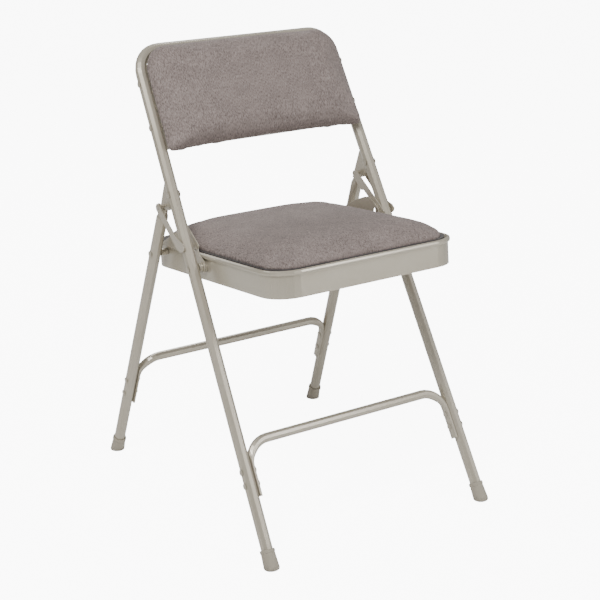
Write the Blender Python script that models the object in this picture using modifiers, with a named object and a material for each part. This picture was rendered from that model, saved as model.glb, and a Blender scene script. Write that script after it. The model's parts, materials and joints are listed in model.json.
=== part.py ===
"""Folding chair: tubular steel frame with a padded seat pan and a padded back.

World frame: metres, +Z up, the sitter faces -Y, X is across, origin on the floor
below the middle of the chair.  The side view is the YZ plane.
"""
import math

import bmesh
import bpy
from mathutils import Matrix, Vector

OBJECT_NAME = "folding_chair"

# ---- driving dimensions, metres and radians
OVERALL_HEIGHT = 0.749
TUBE_RADIUS = 0.00975
BAR_RADIUS = 0.0078
GAP = 0.0003
FIT = 0.0003

FRONT_FOOT_X = 0.2113
FRONT_LEAN_X = 0.0314
FRONT_FOOT_Y = -0.2613
FRONT_RAKE = 0.601
TOP_BEND = 0.042

REAR_FOOT_X = 0.2160
REAR_FOOT_Y = 0.2613
REAR_RAKE = 0.3489

TIP_RADIUS = 0.0122
TIP_LENGTH = 0.0215
TUBE_END_Z = 0.0110

FRONT_BAR_Z = 0.170
FRONT_BAR_END_Z = 0.096
FRONT_BAR_RIVETS = (0.133, 0.114)
REAR_BAR_Z = 0.193
REAR_BAR_END_Z = 0.105
REAR_BAR_RIVETS = (0.155, 0.128)
BAR_BEND = 0.038
BAR_FLAT_HALF = 0.0027

SEAT_HALF_WIDTH = 0.1760
SEAT_TILT = 0.1162
SEAT_FRONT = -0.2144
SEAT_REAR = 0.1873
SEAT_CORNER = 0.045
SEAT_PIVOT_Z = 0.419
RIM_TOP = 0.0211
APRON_BOTTOM = -0.0227
SHEET = 0.0016
BEAD_OUT = 0.0034
BEAD_HEIGHT = 0.0080
FLANGE_DROP = 0.0046
FLANGE_WIDTH = 0.022
BOARD_THICKNESS = 0.0046
PAD_CROWN = 0.036

LEG_PIVOT_Z = 0.527
BLADE_INSET = 0.00057
BLADE_THICKNESS = 0.0046
BLADE_START_Z = 0.490
STRUT_UPPER_OFFSET = (0.027573, -0.0250)
STRUT_LOWER_OFFSET = (0.021981, 0.0315)
EAR_RIVET_OFFSET = (0.038481, -0.0015)
STRUT_INNER_X = 0.1828
STRUT_OUTER_CLEARANCE = 0.00057
STRUT_WASHER_SPACE = 0.0025
STRUT_THICKNESS = 0.0020
EAR_X = 0.1801
EAR_THICKNESS = 0.0023
LOOSE_HOLE_RADIUS = 0.0078
LOOSE_HOLE_OFFSET = (0.0012, -0.0020)

RIVET_RADIUS = 0.0025
HEAD_RADIUS = 0.0052
HEAD_HEIGHT = 0.0011
STOP_PIN_RADIUS = 0.0055

BACK_LOW = 0.584
BACK_PANEL_OFFSET = -0.0045
BACK_EDGE_GAP = 0.0012
BACK_OVERLAP = 0.0010
BACK_TOP_RADIUS = 0.041
BACK_LOW_RADIUS = 0.010

# ---- derived
RAKE_LENGTH = math.hypot(FRONT_RAKE, 1.0)
TOP_AXIS_Z = OVERALL_HEIGHT - TUBE_RADIUS
REAR_LEAN_X = (REAR_FOOT_X - FRONT_FOOT_X + FRONT_LEAN_X * LEG_PIVOT_Z + BLADE_INSET) / LEG_PIVOT_Z
LEG_PIVOT_YZ = (FRONT_FOOT_Y + FRONT_RAKE * LEG_PIVOT_Z, LEG_PIVOT_Z)
SEAT_PIVOT_YZ = (FRONT_FOOT_Y + FRONT_RAKE * SEAT_PIVOT_Z, SEAT_PIVOT_Z)
STRUT_UPPER_YZ = (LEG_PIVOT_YZ[0] + STRUT_UPPER_OFFSET[0], LEG_PIVOT_YZ[1] + STRUT_UPPER_OFFSET[1])
STRUT_LOWER_YZ = (SEAT_PIVOT_YZ[0] + STRUT_LOWER_OFFSET[0], SEAT_PIVOT_YZ[1] + STRUT_LOWER_OFFSET[1])
STRUT_LOWEST_Z = STRUT_LOWER_YZ[1] - 0.0105
FRONT_OUTER_AT_STRUT = FRONT_FOOT_X - FRONT_LEAN_X * STRUT_LOWEST_Z + TUBE_RADIUS
REAR_OUTER_AT_STRUT = REAR_FOOT_X - REAR_LEAN_X * STRUT_UPPER_YZ[1] + TUBE_RADIUS
STRUT_OUTER_X = max(FRONT_OUTER_AT_STRUT + STRUT_OUTER_CLEARANCE, REAR_OUTER_AT_STRUT + STRUT_WASHER_SPACE)
SEGMENTS = 20


def front_axis(side, z):
    return Vector((side * (FRONT_FOOT_X - FRONT_LEAN_X * z), FRONT_FOOT_Y + FRONT_RAKE * z, z))


def rear_axis(side, z):
    return Vector((side * (REAR_FOOT_X - REAR_LEAN_X * z), REAR_FOOT_Y - REAR_RAKE * z, z))


# ---- scene set-up
for old in list(bpy.data.objects):
    bpy.data.objects.remove(old, do_unlink=True)

PARTS = bpy.data.collections.new(OBJECT_NAME)
CUTTERS = bpy.data.collections.new("cutters")
bpy.context.scene.collection.children.link(PARTS)
bpy.context.scene.collection.children.link(CUTTERS)


def material(name, colour, roughness, metallic=0.0):
    mat = bpy.data.materials.new(name)
    mat.use_nodes = True
    shader = mat.node_tree.nodes["Principled BSDF"]
    shader.inputs["Base Color"].default_value = (*colour, 1.0)
    shader.inputs["Roughness"].default_value = roughness
    shader.inputs["Metallic"].default_value = metallic
    return mat


PAINT = ((0.45, 0.42, 0.36), 0.35, 0.1)
STEEL = ((0.50, 0.48, 0.43), 0.30, 0.7)
RUBBER = ((0.36, 0.33, 0.29), 0.75, 0.0)
FABRIC = ((0.27, 0.24, 0.225), 0.95, 0.0)
BOARD = ((0.30, 0.22, 0.14), 0.85, 0.0)


def pivot(name, location, parent=None, tilt=0.0):
    empty = bpy.data.objects.new(name, None)
    PARTS.objects.link(empty)
    empty.rotation_euler.x = tilt
    empty.location = Vector(location)
    if parent is not None:
        empty.parent = parent
        empty.location = Vector(location) - parent.location
    return empty


SEAT_PIVOT = pivot("seat_pivot", (0.0, *SEAT_PIVOT_YZ), tilt=-SEAT_TILT)
REAR_PIVOT = pivot("rear_pivot", (0.0, *LEG_PIVOT_YZ))
STRUT_PIVOT = {
    side: pivot(f"strut_pivot_{tag}", (0.0, *STRUT_UPPER_YZ), REAR_PIVOT)
    for side, tag in ((-1, "left"), (1, "right"))
}
SIDES = ((-1, "left"), (1, "right"))
SEAT_MATRIX = Matrix.Translation((0.0, *SEAT_PIVOT_YZ)) @ Matrix.Rotation(-SEAT_TILT, 4, "X")


def world_of(empty):
    if empty is None:
        return Matrix.Identity(4)
    if empty is SEAT_PIVOT:
        return SEAT_MATRIX
    point = Vector(empty.location)
    if empty.parent is not None:
        point = point + empty.parent.location
    return Matrix.Translation(point)


def node(name, mesh, finish, group=None, smooth=0.6, matrix=None):
    """Link a mesh made in world coordinates as a node under its pivot."""
    obj = bpy.data.objects.new(name, mesh)
    PARTS.objects.link(obj)
    mesh.materials.clear()
    mesh.materials.append(material(name + "_finish", *finish))
    if matrix is None:
        mesh.transform(world_of(group).inverted())
    else:
        obj.matrix_local = world_of(group).inverted() @ matrix
    if group is not None:
        obj.parent = group
    mesh.shade_smooth()
    mesh.set_sharp_from_angle(angle=smooth)
    return obj


def cutter(name, mesh):
    obj = bpy.data.objects.new(name, mesh)
    CUTTERS.objects.link(obj)
    obj.hide_render = True
    obj.display_type = "WIRE"
    return obj


def cut(obj, tool):
    mod = obj.modifiers.new("cut_" + tool.name[:40], "BOOLEAN")
    mod.operation = "DIFFERENCE"
    mod.solver = "EXACT"
    mod.object = tool


def soften(obj, width, segments=1):
    mod = obj.modifiers.new("edge", "BEVEL")
    mod.width = width
    mod.segments = segments
    mod.limit_method = "ANGLE"
    mod.angle_limit = 0.7


def finish_mesh(bm, name):
    bmesh.ops.recalc_face_normals(bm, faces=bm.faces)
    mesh = bpy.data.meshes.new(name)
    bm.to_mesh(mesh)
    bm.free()
    return mesh


def ring_stack(name, rings, closed=False):
    """Skin a list of equal rings of points; ends are capped unless closed."""
    bm = bmesh.new()
    rows = [[bm.verts.new(point) for point in ring] for ring in rings]
    pairs = list(zip(rows[:-1], rows[1:]))
    if closed:
        pairs.append((rows[-1], rows[0]))
    count = len(rows[0])
    for low, high in pairs:
        for i in range(count):
            j = (i + 1) % count
            bm.faces.new((low[i], low[j], high[j], high[i]))
    if not closed:
        bm.faces.new(rows[0])
        bm.faces.new(rows[-1])
    return finish_mesh(bm, name)


def tube_mesh(name, points, radius):
    """Solid round bar along a polyline, from a bevelled curve with filled caps."""
    curve = bpy.data.curves.new(name, "CURVE")
    curve.dimensions = "3D"
    curve.bevel_depth = radius
    curve.bevel_resolution = SEGMENTS // 4 - 2
    curve.resolution_u = 1
    curve.render_resolution_u = 0
    curve.use_fill_caps = True
    spline = curve.splines.new("POLY")
    spline.points.add(len(points) - 1)
    for slot, point in zip(spline.points, points):
        slot.co = (*point, 1.0)
    obj = bpy.data.objects.new(name + "_path", curve)
    PARTS.objects.link(obj)
    depsgraph = bpy.context.evaluated_depsgraph_get()
    mesh = bpy.data.meshes.new_from_object(obj.evaluated_get(depsgraph))
    bpy.data.objects.remove(obj, do_unlink=True)
    bm = bmesh.new()
    bm.from_mesh(mesh)
    bmesh.ops.remove_doubles(bm, verts=bm.verts, dist=0.00001)
    bmesh.ops.recalc_face_normals(bm, faces=bm.faces)
    bm.to_mesh(mesh)
    bm.free()
    return mesh


def arc_between(before, corner, after, radius, steps):
    """Points of the arc that rounds a corner between two straight runs."""
    a = (before - corner).normalized()
    b = (after - corner).normalized()
    half = math.acos(max(-1.0, min(1.0, a.dot(b)))) / 2.0
    centre = corner + (a + b).normalized() * radius / math.sin(half)
    start = corner + a * radius / math.tan(half) - centre
    end = corner + b * radius / math.tan(half) - centre
    sweep = math.acos(max(-1.0, min(1.0, start.dot(end) / radius ** 2)))
    points = []
    for i in range(steps + 1):
        t = i / steps
        spot = (start * math.sin((1 - t) * sweep) + end * math.sin(t * sweep)) / math.sin(sweep)
        points.append(centre + spot)
    return points


def rounded_path(points, radius, steps):
    path = [points[0]]
    for before, corner, after in zip(points[:-2], points[1:-1], points[2:]):
        path.extend(arc_between(before, corner, after, radius, steps))
    path.append(points[-1])
    return path


def turned(name, profile, finish, matrix, group=None, steps=SEGMENTS):
    """Turned piece: profile of (radius, height) rows from top to bottom."""
    bm = bmesh.new()
    verts = [bm.verts.new((radius, 0.0, height)) for radius, height in profile]
    for a, b in zip(verts[:-1], verts[1:]):
        bm.edges.new((a, b))
    mesh = bpy.data.meshes.new(name)
    bm.to_mesh(mesh)
    bm.free()
    obj = node(name, mesh, finish, group, matrix=matrix)
    screw = obj.modifiers.new("turn", "SCREW")
    screw.axis = "Z"
    screw.steps = steps
    screw.render_steps = steps
    screw.use_merge_vertices = True
    screw.merge_threshold = 0.00001
    screw.use_smooth_shade = True
    return obj


def across(side, x, y, z):
    """Matrix that lays a turned piece's own Z outwards along X on one side."""
    return Matrix.Translation((side * x, y, z)) @ Matrix.Rotation(side * math.pi / 2, 4, "Y")


def rod_mesh(name, radius, x0, x1, y, z, sides=SEGMENTS):
    rings = []
    for x in (x0, x1):
        ring = []
        for i in range(sides):
            turn = 2 * math.pi * i / sides
            ring.append(Vector((x, y + radius * math.cos(turn), z + radius * math.sin(turn))))
        rings.append(ring)
    return ring_stack(name, rings)


def plate_mesh(name, outline, x0, x1):
    """Flat plate from a side-view outline of (y, z), between two X values."""
    rings = [[Vector((x, y, z)) for y, z in outline] for x in (x0, x1)]
    return ring_stack(name, rings)


def rivet(name, side, yz, inner, outer, group, inner_head=True, radius=RIVET_RADIUS, head=HEAD_RADIUS):
    """Domed rivet along X with its heads outside the inner and outer faces."""
    length = outer - inner
    profile = [(0.0, length + HEAD_HEIGHT), (head * 0.55, length + HEAD_HEIGHT * 0.86)]
    profile += [(head * 0.90, length + HEAD_HEIGHT * 0.45), (head, length + GAP), (radius, length + GAP)]
    if inner_head:
        profile += [(radius, -GAP), (head, -GAP), (head * 0.90, -HEAD_HEIGHT * 0.45)]
        profile += [(head * 0.55, -HEAD_HEIGHT * 0.86), (0.0, -HEAD_HEIGHT)]
    else:
        profile += [(radius, 0.0), (0.0, 0.0)]
    return turned(name, profile, STEEL, across(side, inner, *yz), group, 16)


def capsule(start, end, widths):
    """Outline round a line from start to end; widths are (distance, half width)."""
    origin = Vector(start)
    run = Vector(end) - origin
    along = run.normalized()
    out = Vector((-along.y, along.x))
    left = [origin + along * s + out * w for s, w in widths]
    right = [origin + along * s - out * w for s, w in widths]
    return [tuple(p) for p in left + right[::-1]]


def arc_points(centre, radius, start, end, steps):
    return [
        (
            centre[0] + radius * math.cos(start + (end - start) * i / steps),
            centre[1] + radius * math.sin(start + (end - start) * i / steps),
        )
        for i in range(steps + 1)
    ]


def beside(origin, offsets):
    """Outline points given as offsets from a pivot."""
    return [(origin[0] + y, origin[1] + z) for y, z in offsets]


def strut_outline(shape):
    """Outline from shares of the strut's length, counted from its lower end, and half widths."""
    low = Vector(STRUT_LOWER_YZ)
    run = Vector(STRUT_UPPER_YZ) - low
    across_run = Vector((-run.y, run.x)).normalized()
    return [tuple(low + run * share + across_run * width) for share, width in shape]


# ---- front frame: one tube bent to an inverted U, slotted for the rear legs
corners = [front_axis(-1, TUBE_END_Z), front_axis(-1, TOP_AXIS_Z)]
corners += [front_axis(1, TOP_AXIS_Z), front_axis(1, TUBE_END_Z)]
FRONT_FRAME = node("front_frame", tube_mesh("front_frame", rounded_path(corners, TOP_BEND, 8), TUBE_RADIUS), PAINT)

# ---- rear legs: round tube whose top is pressed flat into a blade
FLAT = BLADE_THICKNESS / 2.0
BLADE_TOP_Z = 0.5455
rear_edge = rear_axis(1, BLADE_TOP_Z).y + TUBE_RADIUS * math.hypot(REAR_RAKE, 1.0)


def blade_outline():
    d_y, d_z = LEG_PIVOT_YZ
    low = rear_axis(1, BLADE_START_Z)
    half = TUBE_RADIUS * math.hypot(REAR_RAKE, 1.0)
    points = [(low.y + half, low.z), (rear_edge + 0.0006, BLADE_TOP_Z - 0.004)]
    points += [(rear_edge - 0.0040, BLADE_TOP_Z), (d_y + 0.0120, BLADE_TOP_Z - 0.0010)]
    points += arc_points((d_y, d_z), 0.0080, math.radians(75), math.radians(230), 8)
    points += [(0.0650, 0.4985), (low.y - half + 0.0015, low.z + 0.0035), (low.y - half, low.z)]
    return points


def rear_leg_mesh(side):
    """Tube joined to its flat blade as one body."""
    foot = rear_axis(side, TUBE_END_Z)
    neck = rear_axis(side, BLADE_START_Z - 0.010)
    top = rear_axis(side, BLADE_START_Z + 0.006)
    steps = [foot, neck, neck.lerp(top, 0.33), neck.lerp(top, 0.66), top]
    mesh = tube_mesh("leg", steps, TUBE_RADIUS)
    for vert in mesh.vertices:
        over = (vert.co.z - neck.z) / (top.z - neck.z)
        if over > 0.0:
            press = min(1.0, over)
            press = press * press * (3 - 2 * press)
            middle = rear_axis(side, vert.co.z).x
            vert.co.x = middle + (vert.co.x - middle) * (1.0 - press * (1.0 - 0.72 * FLAT * 2 / TUBE_RADIUS))
    x = abs(rear_axis(side, LEG_PIVOT_Z).x)
    blade = plate_mesh("blade", blade_outline(), side * (x - FLAT), side * (x + FLAT))
    joined = bpy.data.objects.new("leg_join", mesh)
    other = bpy.data.objects.new("blade_join", blade)
    for item in (joined, other):
        PARTS.objects.link(item)
    mod = joined.modifiers.new("weld", "BOOLEAN")
    mod.operation = "UNION"
    mod.solver = "EXACT"
    mod.object = other
    depsgraph = bpy.context.evaluated_depsgraph_get()
    result = bpy.data.meshes.new_from_object(joined.evaluated_get(depsgraph))
    for item in (joined, other):
        bpy.data.objects.remove(item, do_unlink=True)
    return result


SLOT_UP = 0.0315
SLOT_DOWN = 0.0360
REAR_LEGS = {}
for side, tag in SIDES:
    REAR_LEGS[side] = node(f"rear_leg_{tag}", rear_leg_mesh(side), PAINT, REAR_PIVOT, smooth=0.5)
    d_y, d_z = LEG_PIVOT_YZ
    slot_x = abs(rear_axis(side, LEG_PIVOT_Z).x)
    up = Vector((FRONT_RAKE, 1.0)) / RAKE_LENGTH
    back = Vector((1.0, -FRONT_RAKE)) / RAKE_LENGTH
    here = Vector(LEG_PIVOT_YZ)
    outline = [tuple(here + up * SLOT_UP + back * 0.02), tuple(here + up * SLOT_UP - back * 0.0030)]
    outline += [tuple(here + up * 0.010 - back * 0.0084), tuple(here - up * 0.010 - back * 0.0084)]
    outline += [tuple(here - up * SLOT_DOWN - back * 0.0030), tuple(here - up * SLOT_DOWN + back * 0.02)]
    slot_half = FLAT + GAP
    tool = cutter(
        f"slot_{tag}", plate_mesh("slot", outline, side * (slot_x - slot_half), side * (slot_x + slot_half))
    )
    cut(FRONT_FRAME, tool)

# ---- crossbars with their ends bent down along the legs
BAR_OFFSET = TUBE_RADIUS + BAR_FLAT_HALF + GAP


def press_ends(mesh, axis_of, z_bar):
    """Flatten the parts of a crossbar that run down along the legs."""
    for vert in mesh.vertices:
        leg = abs(axis_of(1, vert.co.z).x)
        middle = leg - BAR_OFFSET
        press = max(0.0, min(1.0, (z_bar - 0.25 * BAR_BEND - vert.co.z) / (0.50 * BAR_BEND)))
        press = press * press * (3 - 2 * press)
        x = abs(vert.co.x)
        if x < middle:
            x = middle + (x - middle) * (1.0 - press * (1.0 - BAR_FLAT_HALF / BAR_RADIUS))
        vert.co.x = math.copysign(min(x, leg - TUBE_RADIUS - GAP), vert.co.x)


def crossbar(name, axis_of, z_bar, z_end, group):
    def at(side, z):
        point = axis_of(side, z)
        point.x -= side * BAR_OFFSET
        return point

    run = [at(-1, z_end), at(-1, z_bar), at(1, z_bar), at(1, z_end)]
    mesh = tube_mesh(name, rounded_path(run, BAR_BEND, 8), BAR_RADIUS)
    press_ends(mesh, axis_of, z_bar)
    return node(name, mesh, PAINT, group)


FRONT_BAR = crossbar("front_crossbar", front_axis, FRONT_BAR_Z, FRONT_BAR_END_Z, None)
REAR_BAR = crossbar("rear_crossbar", rear_axis, REAR_BAR_Z, REAR_BAR_END_Z, REAR_PIVOT)

for label, axis_of, bar, legs, heights, group in (
    ("front", front_axis, FRONT_BAR, None, FRONT_BAR_RIVETS, None),
    ("rear", rear_axis, REAR_BAR, REAR_LEGS, REAR_BAR_RIVETS, REAR_PIVOT),
):
    for side, tag in SIDES:
        for rank, z in zip(("upper", "lower"), heights):
            spot = axis_of(side, z)
            inner = abs(spot.x) - BAR_OFFSET - BAR_FLAT_HALF - GAP
            outer = abs(spot.x) + TUBE_RADIUS
            name = f"{label}_bar_rivet_{tag}_{rank}"
            rivet(name, side, (spot.y, spot.z), inner, outer, group)
            bore = rod_mesh(name, RIVET_RADIUS + FIT, side * (inner - 0.01), side * (outer + 0.01), spot.y, spot.z)
            tool = cutter(name + "_bore", bore)
            cut(bar, tool)
            cut(legs[side] if legs else FRONT_FRAME, tool)

# ---- rubber tips, cut level where they stand on the floor
FLOOR_TOOL_MESH = ring_stack(
    "floor",
    [[Vector((x, y, z)) for x, y in ((-0.4, -0.4), (0.4, -0.4), (0.4, 0.4), (-0.4, 0.4))] for z in (-0.05, 0.0)],
)
FLOOR_TOOL = cutter("floor_level", FLOOR_TOOL_MESH)
for label, axis_of, group in (("front", front_axis, None), ("rear", rear_axis, REAR_PIVOT)):
    for side, tag in SIDES:
        foot = axis_of(side, 0.0)
        along = (axis_of(side, 1.0) - foot).normalized()
        turn = Vector((0.0, 0.0, 1.0)).rotation_difference(along).to_matrix().to_4x4()
        bore = TUBE_RADIUS + GAP
        stop = (TUBE_END_Z / along.z) - GAP
        rim = stop + TIP_LENGTH - 0.004
        profile = [(bore, rim), (TIP_RADIUS - 0.0004, rim), (TIP_RADIUS, rim - 0.0015), (TIP_RADIUS, rim - 0.0045)]
        profile += [(TIP_RADIUS - 0.0008, rim - 0.0058), (TIP_RADIUS + 0.0002, 0.0060)]
        profile += [(TIP_RADIUS + 0.0006, 0.0), (TIP_RADIUS - 0.0004, -0.0035), (TIP_RADIUS - 0.0035, -0.0060)]
        profile += [(0.0, -0.0068)]
        profile = [(0.0, stop), (bore, stop)] + profile
        tip = turned(f"foot_tip_{label}_{tag}", profile, RUBBER, Matrix.Translation(foot) @ turn, group, 24)
        cut(tip, FLOOR_TOOL)


# ---- seat, built in its own flat frame and tilted by its pivot
def seat_outline(inset, height, steps=6):
    half = SEAT_HALF_WIDTH - inset
    front = SEAT_FRONT + inset
    rear = SEAT_REAR - inset
    radius = max(0.006, SEAT_CORNER - inset)
    centres = ((half - radius, rear - radius, 0.0), (radius - half, rear - radius, 90.0))
    centres += ((radius - half, front + radius, 180.0), (half - radius, front + radius, 270.0))
    points = []
    for x, y, start in centres:
        for i in range(steps + 1):
            turn = math.radians(start + 90.0 * i / steps)
            points.append(Vector((x + radius * math.cos(turn), y + radius * math.sin(turn), height)))
    return points


BEAD_LOW = RIM_TOP - BEAD_HEIGHT
BEAD_MIDDLE = RIM_TOP - BEAD_HEIGHT / 2.0
FLANGE_TOP = RIM_TOP - FLANGE_DROP
pan_profile = [(0.0, APRON_BOTTOM), (0.0, BEAD_LOW), (BEAD_OUT * 0.75, BEAD_LOW + 0.0010)]
pan_profile += [(BEAD_OUT, BEAD_MIDDLE), (BEAD_OUT * 0.75, RIM_TOP - 0.0012), (0.0, RIM_TOP)]
pan_profile += [(-SHEET, RIM_TOP), (-0.0036, FLANGE_TOP), (-FLANGE_WIDTH, FLANGE_TOP)]
pan_profile += [(-FLANGE_WIDTH, FLANGE_TOP - SHEET), (-0.0036, FLANGE_TOP - SHEET)]
pan_profile += [(-SHEET, FLANGE_TOP - 0.0042), (-SHEET, APRON_BOTTOM + 0.003)]
pan_profile += [(-0.0042, APRON_BOTTOM + 0.0022), (-0.0042, APRON_BOTTOM)]
pan_mesh = ring_stack("seat_pan", [seat_outline(-n, w) for n, w in pan_profile], closed=True)
SEAT_PAN = node("seat_pan", pan_mesh, PAINT, SEAT_PIVOT, matrix=SEAT_MATRIX)

board_low = FLANGE_TOP + GAP
board_mesh = ring_stack("seat_board", [seat_outline(0.006, board_low + h) for h in (0.0, BOARD_THICKNESS)])
node("seat_board", board_mesh, BOARD, SEAT_PIVOT, matrix=SEAT_MATRIX)

pad_low = board_low + BOARD_THICKNESS + GAP
pad_rows = ((0.0075, 0.0), (0.0030, 0.0022), (0.0010, 0.0070), (0.0020, 0.0125), (0.0070, 0.0185))
pad_rows += ((0.0180, 0.0245), (0.0380, 0.0295), (0.0700, 0.0335), (0.1100, 0.0355), (0.1500, PAD_CROWN))
pad_mesh = ring_stack("seat_pad", [seat_outline(inset, pad_low + h) for inset, h in pad_rows])
node("seat_pad", pad_mesh, FABRIC, SEAT_PIVOT, smooth=1.0, matrix=SEAT_MATRIX)

# ---- ears, spacer blocks and seat pivots
EAR_TOP = [(0.1275, 0.0110), (0.1113, 0.0211), (0.0859, 0.0362), (0.0755, 0.0410), (0.0585, 0.0482)]
EAR_TOP += [(0.0495, 0.0506), (0.0412, 0.0506), (0.0265, 0.0442), (0.0167, 0.0370), (0.0125, 0.0295)]
EAR_TOP += [(0.0095, 0.0210), (-0.0095, 0.0100)]
EAR_LOW = [(0.0395, -0.0105), (0.0455, -0.0070), (0.0475, 0.0000), (0.0485, 0.0128), (0.1255, 0.0038)]
EAR_OUTLINE = beside(SEAT_PIVOT_YZ, EAR_TOP)
EAR_OUTLINE += arc_points(SEAT_PIVOT_YZ, 0.0105, math.radians(165), math.radians(300), 8)
EAR_OUTLINE += beside(SEAT_PIVOT_YZ, EAR_LOW)
SECOND_YZ = (SEAT_PIVOT_YZ[0] + EAR_RIVET_OFFSET[0], SEAT_PIVOT_YZ[1] + EAR_RIVET_OFFSET[1])
ear_outer = EAR_X + EAR_THICKNESS
block_inner = SEAT_HALF_WIDTH + GAP
block_outer = EAR_X - GAP
FRONT_INNER_AT_PIVOT = abs(front_axis(1, SEAT_PIVOT_Z).x) - TUBE_RADIUS
for side, tag in SIDES:
    ear = node(f"ear_{tag}", plate_mesh("ear", EAR_OUTLINE, side * EAR_X, side * ear_outer), PAINT, SEAT_PIVOT)
    soften(ear, 0.0004)
    along = Vector(SECOND_YZ) - Vector(SEAT_PIVOT_YZ)
    run = along.length
    widths = [(-0.0085, 0.0030), (-0.0060, 0.0065), (-0.0025, 0.0082), (run + 0.0025, 0.0082)]
    widths += [(run + 0.0060, 0.0065), (run + 0.0085, 0.0030)]
    block = node(
        f"spacer_block_{tag}",
        plate_mesh("block", capsule(SEAT_PIVOT_YZ, SECOND_YZ, widths), side * block_inner, side * block_outer),
        PAINT,
        SEAT_PIVOT,
    )
    soften(block, 0.0004)

    washer_in = ear_outer + GAP
    washer_out = FRONT_INNER_AT_PIVOT - GAP
    bore = RIVET_RADIUS + FIT
    depth = washer_out - washer_in
    profile = [(bore, depth), (0.0070, depth), (0.0075, depth - 0.0005), (0.0075, 0.0005), (0.0070, 0.0)]
    profile += [(bore, 0.0), (bore, depth)]
    turned(f"pivot_washer_{tag}", profile, STEEL, across(side, washer_in, *SEAT_PIVOT_YZ), None)

    inner = SEAT_HALF_WIDTH - SHEET
    outer = abs(front_axis(1, SEAT_PIVOT_Z).x) + TUBE_RADIUS
    rivet(f"seat_pivot_rivet_{tag}", side, SEAT_PIVOT_YZ, inner, outer, None)
    tool = cutter(
        f"seat_pivot_bore_{tag}",
        rod_mesh("bore", bore, side * (inner - 0.02), side * (outer + 0.02), *SEAT_PIVOT_YZ),
    )
    for target in (FRONT_FRAME, SEAT_PAN, ear, block):
        cut(target, tool)

    rivet(f"ear_rivet_{tag}", side, SECOND_YZ, inner, ear_outer, SEAT_PIVOT)
    tool = cutter(
        f"ear_bore_{tag}",
        rod_mesh("bore", bore, side * (inner - 0.02), side * (ear_outer + 0.02), *SECOND_YZ),
    )
    for target in (SEAT_PAN, ear, block):
        cut(target, tool)

    hole_y = STRUT_LOWER_YZ[0] + LOOSE_HOLE_OFFSET[0]
    hole_z = STRUT_LOWER_YZ[1] + LOOSE_HOLE_OFFSET[1]
    tool = cutter(
        f"loose_hole_{tag}",
        rod_mesh("hole", LOOSE_HOLE_RADIUS, side * (EAR_X - 0.01), side * (ear_outer + 0.01), hole_y, hole_z),
    )
    cut(ear, tool)

# ---- rear leg pivots, stop pins and struts
STRUT_INNER_SHAPE = [(1.0030, 0.0080), (1.0635, 0.0011), (1.0521, -0.0039), (0.9823, -0.0075), (0.6222, -0.0079)]
STRUT_INNER_SHAPE += [(0.5729, -0.0027), (0.1272, -0.0001), (0.0530, -0.0040), (-0.0068, -0.0054), (-0.0703, -0.0033)]
STRUT_INNER_SHAPE += [(-0.1196, 0.0018), (-0.1454, 0.0089), (-0.1367, 0.0137), (-0.0742, 0.0140), (0.5325, 0.0107)]
STRUT_OUTER_SHAPE = [(1.0213, 0.0051), (1.0625, 0.0003), (1.0598, -0.0051), (1.0070, -0.0085), (0.8777, -0.0095)]
STRUT_OUTER_SHAPE += [(0.3704, -0.0091), (0.2065, -0.0101), (0.0456, -0.0095), (-0.0635, -0.0057), (-0.1158, 0.0006)]
STRUT_OUTER_SHAPE += [(-0.1336, 0.0069), (-0.1120, 0.0122), (-0.0131, 0.0128), (0.1049, 0.0078), (0.2657, 0.0050)]
STRUT_OUTER_SHAPE += [(0.8192, 0.0048)]
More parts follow.
